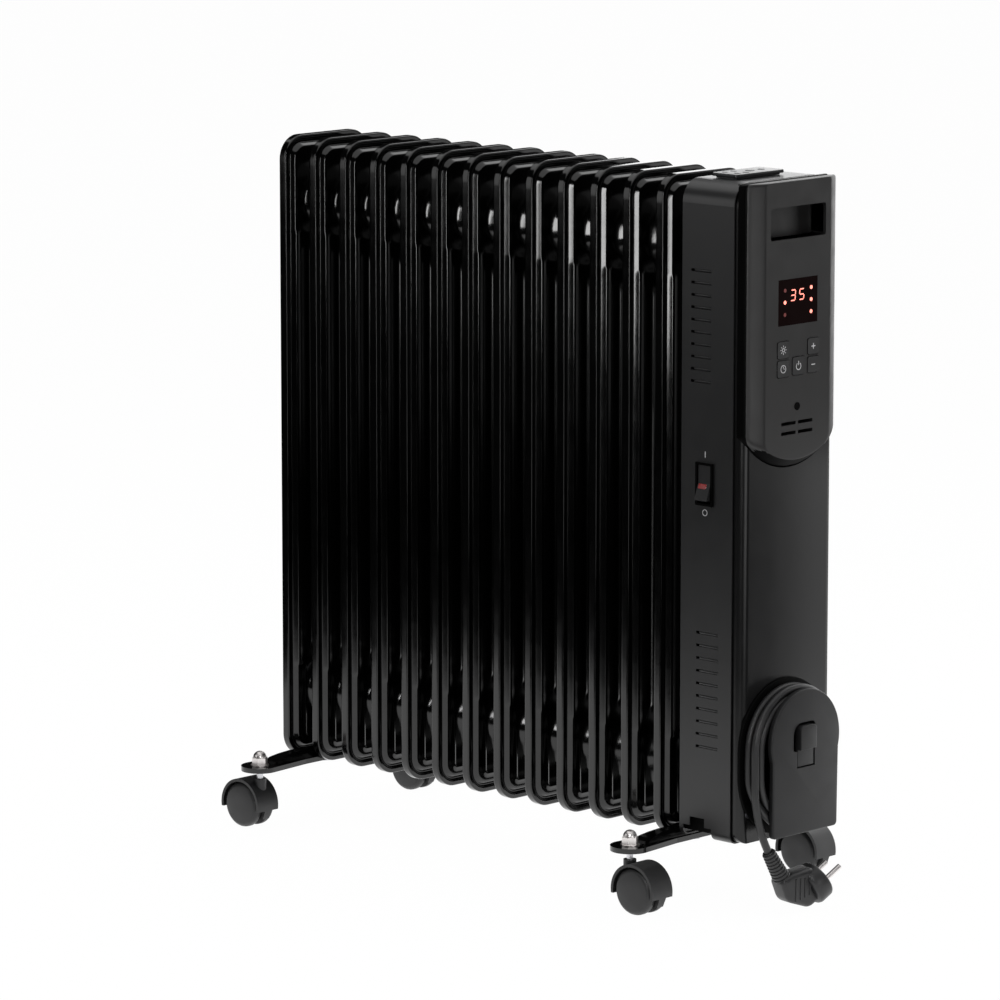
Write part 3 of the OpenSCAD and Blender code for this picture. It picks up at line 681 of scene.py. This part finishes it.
holes = [prism(RECESS, 270, PAST_FRONT_X), prism(DISPLAY, 287.6, PAST_FRONT_X),
         prism(SENSOR, 285, PAST_FRONT_X)]
for y0, y1 in ((-20.5, -1.5), (1.5, 20.5)):
    for z in (421.5, 430.0):
        holes.append(prism(rect(y0, y1, z - 1.5, z + 1.5, 0.7), 280, PAST_FRONT_X))
for key in ("mode_key", "timer_key", "power_key", "plus_key", "minus_key"):
    lo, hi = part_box(key)
    around = rect(lo[1] / MM - 0.5, hi[1] / MM + 0.5, lo[2] / MM - 0.5, hi[2] / MM + 0.5, 2.2)
    holes.append(prism(around, 281, PAST_FRONT_X))
carve(housing, [facing_x(hole) for hole in holes])
# The side wall and the down-facing underside of the chamfer are painted near-black as shade
housing.data.materials.append(BLACK_TRIM_AND_SHADE)
for face in housing.data.polygons:
    side_wall = all(housing.data.vertices[v].co.x < (FRONT_X - 7.9) * MM for v in face.vertices)
    outside = face.center.x > (FRONT_X - 16.9) * MM and face.center.z < 0.41
    if side_wall or outside and -0.999 < face.normal.z < -0.42:
        face.material_index = 1
top_lip = prism(rect(SHELL_X + 0.3, 274.4, -56.5, 56.5), BOX_TOP - 1.8, BOX_TOP - 0.2, 0.0, 0.3, 2)
make("housing_top_lip", *top_lip, M["housing_plastic"], slot="housing_plastic")
liner = make("recess_liner", *facing_x(prism(rect(-37.4, 37.4, 588.6, 619.4), 271.4, 288.0)),
             M["housing_plastic"], slot="housing_plastic")
carve(liner, [facing_x(prism(RECESS, 272.2, PAST_FRONT_X))])


# Reel plate and latch -------------------------------------------------------------

REEL_LATCH_Z = (129.0, 144.0, 165.5)
arch = arc(0, REEL_Z, 45.0, range(-19, 200, 3))
foot = rounded([(-42.5, 138.0), (-42.5, 69.0), (42.5, 69.0), (42.5, 138.0)], [0.0, 4.0, 4.0, 0.0])
plate = make("reel_front_plate", *facing_x(prism(arch + foot, PLATE_X, PLATE_X + 5, 0.4, 1.4, 4)),
             M["reel_plastic"], slot="reel_plastic")
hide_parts("reel_plate")


def tongue(low):
    w, top = 10.5, REEL_LATCH_Z[2]
    return rounded([(-w, low), (w, low), (w, top), (-w, top)], [0.0, 0.0, 4.0, 4.0])


opening = rounded([(-11.7, 127.8), (11.7, 127.8), (11.7, 168.0), (-16.5, 168.0), (-16.5, 143.0),
                   (-11.7, 143.0)], [0.4, 0.4, 4.0, 11.0, 2.0, 0.4])
carve(plate, [facing_x(prism(opening, PLATE_X - 2, PLATE_X + 7))])
press_tab = [prism(tongue(REEL_LATCH_Z[0]), PLATE_X + 1.5, PLATE_X + 4.5, 0.2, 0.4),
             prism(tongue(REEL_LATCH_Z[1]), PLATE_X + 4.0, PLATE_X + 8.6, 0.0, 1.1)]
latch = make("reel_press_tab", *facing_x(join_parts(press_tab)), M["reel_plastic"], body="latch",
             slot="reel_plastic")
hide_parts("reel_latch")
# A near-black web inside the core, behind the tongue's full travel, is painted shade in the latch
# opening
well = prism(circle(0, REEL_Z, 28.4, 60), PLATE_X - 4.4, PLATE_X - 3.4, 0.0, 0.3, 2)
make("reel_tongue_painted_shade", *facing_x(well), BLACK_PLASTIC_AND_SHADE, slot="reel_plastic")
# Black back flange behind the winding; its near-black finish also paints the shadow in the gap
# behind the cord
flange_outline = (arc(REEL_Y, REEL_HIGH, 59, range(0, 181, 5))
                  + arc(REEL_Y, REEL_LOW, 59, range(180, 361, 5)))
make("reel_back_flange", *facing_x(prism(flange_outline, 281.9, 284.4, 0.0, 0.8)), BLACK_PLASTIC_AND_SHADE,
     slot="reel_plastic")


# Remote control -------------------------------------------------------------------

lo, hi = [[c / MM for c in end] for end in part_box("remote_control")]
case = prism(rect(lo[0], hi[0], lo[1], hi[1], 4.0), hi[2] - 3.2, hi[2] - 0.3, 0.7, 0.8)
base = prism(rect(lo[0] + 3, hi[0] - 3, lo[1] + 3, hi[1] - 3, 2.0), lo[2], hi[2] - 3.0)
remote = make("remote_case", *join_parts([case, base]), REMOTE, body="remote",
              slot="housing_plastic")
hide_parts("remote_control")
mid_x, mid_y = (lo[0] + hi[0]) / 2, (lo[1] + hi[1]) / 2
# Buttons as (across, along, radius) from the middle of the remote
REMOTE_BUTTONS = [(-7, -22, 2.9), (7, -22, 2.9), (-7, -11, 2.9), (7, -11, 2.9), (0, 2, 4.2),
                  (0, 17, 3.2)]
buttons = [prism(circle(mid_x + dx, mid_y + dy, r, 24), hi[2] - 1.0, hi[2] - 0.02, 0.0, 0.3, 3)
           for dx, dy, r in REMOTE_BUTTONS]
make("remote_buttons", *join_parts(buttons), REMOTE_KEY, body="remote")


# Shell seams and louvres ------------------------------------------------------------

def shell_loop(half_w, low, high, r_low, r_high):
    """Upright outline with its own lower and upper corner radius."""
    return rounded([(-half_w, low), (half_w, low), (half_w, high), (-half_w, high)],
                   [r_low, r_low, r_high, r_high], 8)


# A near-black band inside the shell, behind the seam between shell and cover, is painted shade in
# the gap
outer = shell_loop(59.6, 64.0, 638.6, 6.6, 18.6)
inner = shell_loop(57.4, 66.2, 636.4, 4.4, 16.4)
SEAM_X = (265.0, 270.7)
seam = [[(x, y, z) for y, z in loop] for x, loop in
        ((SEAM_X[0], outer), (SEAM_X[1], outer), (SEAM_X[1], inner), (SEAM_X[0], inner),
         (SEAM_X[0], outer))]
make("shell_seam_painted_shade", *loft(seam, closed_ends=False), BLACK_PLASTIC_AND_SHADE, slot="shell_paint")

# Each slot's louvre leaves a hole at one end: (first x, length, lowest z, step)
SLOT_ROWS = [(BOX_BACK_X + 10.5, 23.0, 466.0, 10.7), (BOX_BACK_X + 18.5, 25.5, 145.0, 11.2)]
louvres = []
for start, length, low, step in SLOT_ROWS:
    for k in range(10):
        z = low + k * step
        louvre = prism(rect(start + 3.2, start + length - 0.3, z - 0.85, z + 0.85),
                       SHELL_HALF_W - 1.0, SHELL_HALF_W - 0.45, 0.0, 0.3, 2)
        louvres += [facing_y(louvre, -1), facing_y(louvre, 1)]
make("shell_louvres", *join_parts(louvres), M["shell_paint"], slot="shell_paint")
# Near-black sheets inside the shell's foot notches are painted shade that hides the lit interior
notch_shade_sheet = prism(rect(BOX_BACK_X + 1.6, 264.0, 68.0, 96.0, 2.0), 56.4, 57.4, 0.0, 0.3, 2)
for way, name in ((-1, "right"), (1, "left")):
    make("notch_shade_sheet_" + name, *facing_y(notch_shade_sheet, way), BLACK_PLASTIC_AND_SHADE, slot="shell_paint")


# Switch lens, on the lower half of the rocker ----------------------------------------

SWITCH_X, SWITCH_Z = 239.7, 377.0
ROCKER = (Matrix.Translation((SWITCH_X, -SHELL_HALF_W + 4, SWITCH_Z))
          @ Matrix.Rotation(math.radians(-10), 4, "X"))
DOWN_FACE = (-0.179, -0.984)
OUT_OF_FACE = (-0.984, 0.179)
lens = prism(rect(-6.0, 3.0, 0.7, 5.2, 0.8), -0.5, 0.35, 0.0, 0.3, 3)
lens = ([(x, -5 + DOWN_FACE[0] * d + OUT_OF_FACE[0] * n, DOWN_FACE[1] * d + OUT_OF_FACE[1] * n)
         for x, d, n in lens[0]], lens[1])
make("switch_lens", *moved(lens, ROCKER), LENS, body="rocker", slot="housing_plastic")


# Twin wheels --------------------------------------------------------------------------

WEB = 4.6
# One wheel as (along the axle, radius) pairs, from the hub's face round the tread
TREAD = [(13.0, 0.0), (13.0, 6.0), (13.0, 17.0), (12.7, 17.9), (12.1, 18.8), (11.1, 19.8),
         (9.8, 20.6), (8.2, WHEEL_R), (WEB + 0.6, WHEEL_R), (WEB, 20.4), (WEB, 0.0)]
for k in range(1, 5):
    lo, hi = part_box("caster_wheels_%d" % k)
    middle = ((lo[0] + hi[0]) / 2 / MM, (lo[1] + hi[1]) / 2 / MM, WHEEL_R)
    place = Matrix.Translation(middle) @ Matrix.Rotation(math.radians(90), 4, "Z")
    wheel = lathe(TREAD, 72)
    other_wheel = ([(-x, y, z) for x, y, z in wheel[0]], wheel[1])
    axle = lathe([(-WEB - 0.1, 3.0), (WEB + 0.1, 3.0)], 24)
    parts = [moved(part, place) for part in (wheel, other_wheel, axle)]
    pair = make("wheel_pair_%d" % k, *join_parts(parts), M["caster_plastic"],
                body="wheels_%d" % k, slot="caster_plastic")
    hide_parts("caster_wheels_%d" % k)


# Signs on the switch, keys and display ----------------------------------------

def bar(u0, v0, u1, v1, w):
    """Outline of a straight stroke with pointed ends."""
    d = Vector((u1 - u0, v1 - v0))
    n = Vector((-d.y, d.x)).normalized() * (w / 2)
    e = d.normalized() * (w / 2)
    a, b = Vector((u0, v0)), Vector((u1, v1))
    pts = [a - n, b - n, b + e, b + n, a + n, a - e]
    return [tuple(p) for p in pts]


def ring_part(u, v, r, w, lo, hi, a0=0.0, a1=360.0, n=36):
    """A flat ring, or a stretch of one from a0 to a1 degrees."""
    full = a1 - a0 >= 360
    count = n if full else n + 1
    verts, faces = [], []
    for k in range(count):
        t = math.radians(a0 + (a1 - a0) * k / n)
        c, s = math.cos(t), math.sin(t)
        for rr, a in ((r - w / 2, lo), (r + w / 2, lo), (r + w / 2, hi), (r - w / 2, hi)):
            verts.append((u + rr * c, v + rr * s, a))
    for k in range(n):
        b = 4 * k
        e = 4 * ((k + 1) % count)
        for j in range(4):
            j2 = (j + 1) % 4
            faces.append((b + j, b + j2, e + j2, e + j))
    if not full:
        faces += [(0, 1, 2, 3), (4 * n + 3, 4 * n + 2, 4 * n + 1, 4 * n)]
    return verts, faces


marks = join_parts([ring_part(SWITCH_X, 352.0, 2.6, 0.7, -0.2, 0.12),
                    prism(bar(SWITCH_X, 400.5, SWITCH_X, 405.5, 0.8), -0.2, 0.12)])
make("switch_marks", *facing_y(marks, -1, -SHELL_HALF_W), GLOWING_PRINT)

KEY_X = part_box("power_key")[1][0] / MM
SIGN_DEPTH = (-0.3, 0.12)


def stroke(u0, v0, u1, v1, w):
    return prism(bar(u0, v0, u1, v1, w), *SIGN_DEPTH)


def on_key(name, body, parts):
    make(name, *facing_x(join_parts(parts), KEY_X), GLOWING_PRINT, body=body)


on_key("plus_sign", "plus_button", [stroke(18.0, 494.5, 22.5, 494.5, 0.9),
                                    stroke(20.25, 492.25, 20.25, 493.9, 0.9),
                                    stroke(20.25, 495.1, 20.25, 496.75, 0.9)])
on_key("minus_sign", "minus_button", [stroke(18.0, 478.5, 22.5, 478.5, 0.9)])
on_key("power_sign", "power_button", [ring_part(1.0, 478.8, 3.0, 0.7, *SIGN_DEPTH, 125, 415),
                                      stroke(1.0, 480.0, 1.0, 483.2, 0.7)])
RAYS = [(math.cos(math.pi / 4 * k), math.sin(math.pi / 4 * k)) for k in range(8)]
on_key("mode_sign", "mode_button", [ring_part(-19.0, 494.7, 1.5, 0.6, *SIGN_DEPTH)]
       + [stroke(-19.0 + 2.7 * c, 494.7 + 2.7 * s, -19.0 + 3.8 * c, 494.7 + 3.8 * s, 0.6)
          for c, s in RAYS])
on_key("timer_sign", "timer_button", [ring_part(-19.0, 478.2, 3.2, 0.6, *SIGN_DEPTH),
                                      stroke(-19.0, 478.9, -19.0, 480.3, 0.6),
                                      stroke(-18.4, 478.2, -17.2, 478.2, 0.6)])


# Display ------------------------------------------------------------------------------

GLASS_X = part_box("display_window")[1][0] / MM
GLOW_DEPTH = (0.02, 0.12)


def digit(y0, y1, z0, z1, segments):
    """Leaning seven-segment digit; w is the stroke's width, g the gap at its ends."""
    w = 0.95
    g = 0.75
    zm = (z0 + z1) / 2
    lines = {"a": (y0 + g, z1, y1 - g, z1), "d": (y0 + g, z0, y1 - g, z0),
             "g": (y0 + g, zm, y1 - g, zm), "f": (y0, zm + g, y0, z1 - g),
             "b": (y1, zm + g, y1, z1 - g), "e": (y0, z0 + g, y0, zm - g),
             "c": (y1, z0 + g, y1, zm - g)}
    lean = math.tan(math.radians(5))
    out = []
    for key in segments:
        u0, v0, u1, v1 = lines[key]
        part = prism(bar(u0, v0, u1, v1, w), *GLOW_DEPTH)
        out.append(([(u + (v - zm) * lean, v, a) for u, v, a in part[0]], part[1]))
    return out


def diodes(places):
    return [prism(circle(y, z, 1.7, 16), *GLOW_DEPTH) for y, z in places]


def on_glass(name, parts, mat):
    make(name, *facing_x(join_parts(parts), GLASS_X), mat)


THREE = digit(-9.0, -3.3, 536.6, 545.6, "abcdg")
FIVE = digit(2.2, 7.9, 536.6, 545.6, "acdfg")
on_glass("display_digits", THREE + FIVE, LIT)
on_glass("lit_diodes", diodes([(-16.7, 535.6), (17.5, 546), (17.5, 535.5), (17.5, 525)]), LIT)
on_glass("dark_diodes", diodes([(-16.7, 546), (-16.7, 525)]), DIM)


# Floor, lights -----------------------------------------------------------------

def stage_sheet(name, corners, mat):
    """A flat sheet of four corners, in metres, that isn't part of the object."""
    mesh = bpy.data.meshes.new(name)
    mesh.from_pydata(corners, [], [(0, 1, 2, 3)])
    mesh.materials.append(mat)
    obj = link(bpy.data.objects.new(name, mesh))
    return obj


def plane(name, size, z, mat):
    h = size / 2
    return stage_sheet(name, [(-h, -h, z), (h, -h, z), (h, h, z), (-h, h, z)], mat)


def glow_sheet(name, glow, albedo):
    m = bpy.data.materials.new(name)
    m.use_nodes = True
    t = m.node_tree
    bsdf = next(n for n in t.nodes if n.type == "BSDF_PRINCIPLED")
    bsdf.inputs["Base Color"].default_value = (albedo, albedo, albedo, 1)
    bsdf.inputs["Roughness"].default_value = 0.9
    bsdf.inputs["Specular IOR Level"].default_value = 0.0
    bsdf.inputs["Emission Color"].default_value = (1, 1, 1, 1)
    bsdf.inputs["Emission Strength"].default_value = glow
    return m


# The floor is seen, but the object neither mirrors it nor is lit by it
floor = plane("floor", 60.0, -0.0005, glow_sheet("white_floor", 0.985, 0.03))
floor.visible_glossy = False
floor.visible_diffuse = False


def reflected_only(obj):
    obj.visible_camera = False
    obj.visible_diffuse = False
    obj.visible_shadow = False
    obj.visible_transmission = False


table = plane("table_glow", 1.5, -0.0003, glow_sheet("table_white", 1.3, 0.0))
reflected_only(table)

# An upright sheet behind the control box, which brightens its level top faces
away = Vector((-math.sin(VIEW_AZIMUTH), math.cos(VIEW_AZIMUTH), 0))
side = Vector((away.y, -away.x, 0))
backdrop = stage_sheet("backdrop_glow", [away * 1.7 + side * u + Vector((0, 0, z)) for u, z in
                                         ((0.10, 0.10), (2.5, 0.10), (2.5, 2.0), (0.10, 2.0))],
                       glow_sheet("backdrop_white", 2.1, 0.0))
reflected_only(backdrop)

# White where the camera sees the sky directly, and nearly black as a light
world = bpy.data.worlds.new("studio")
world.use_nodes = True
bpy.context.scene.world = world
world.node_tree.nodes["Background"].inputs[0].default_value = (1, 1, 1, 1)
sky = world.node_tree.nodes["Background"]
seen_directly = world.node_tree.nodes.new("ShaderNodeLightPath").outputs["Is Camera Ray"]
sky_strength = world.node_tree.nodes.new("ShaderNodeMath")
sky_strength.operation = "MULTIPLY_ADD"
sky_strength.inputs[1].default_value = 0.975
sky_strength.inputs[2].default_value = 0.01
world.node_tree.links.new(seen_directly, sky_strength.inputs[0])
world.node_tree.links.new(sky_strength.outputs[0], sky.inputs["Strength"])


def softbox(name, at, towards, width, height, radiance, diffuse=True):
    """A rectangular light; without diffuse it only shows as a highlight."""
    data = bpy.data.lights.new(name, "AREA")
    data.shape = "RECTANGLE"
    data.size = width
    data.size_y = height
    data.energy = radiance * math.pi * width * height
    obj = link(bpy.data.objects.new(name, data))
    obj.location = at
    obj.rotation_euler = (Vector(towards) - Vector(at)).to_track_quat("-Z", "Y").to_euler()
    obj.visible_camera = False
    obj.visible_diffuse = diffuse
    return obj


softbox("overhead", (0.3, 0.3, 2.3), (0.2, 0.2, 0.0), 3.4, 4.2, 1.05)
softbox("fin_crown", (-0.3, 1.6, 2.2), (0.0, 0.0, 0.6), 1.6, 1.2, 1.6, diffuse=False)
softbox("front", (0.75, -0.85, 0.68), (-0.05, 0.0, 0.62), 0.16, 0.66, 13.0, diffuse=False)
softbox("right", (1.35, 1.2, 0.54), (0.28, 0.05, 0.50), 0.7, 0.72, 1.15)
softbox("ahead", (1.5, -0.25, 0.34), (0.28, -0.05, 0.45), 0.6, 0.6, 2.2)
softbox("left", (-1.0, -1.6, 0.9), (0.25, -0.06, 0.35), 1.2, 1.0, 1.15)
softbox("cover_edge", (0.36, 0.31, 0.18), (0.245, 0.19, 0.18), 0.28, 0.36, 1.1, diffuse=False)
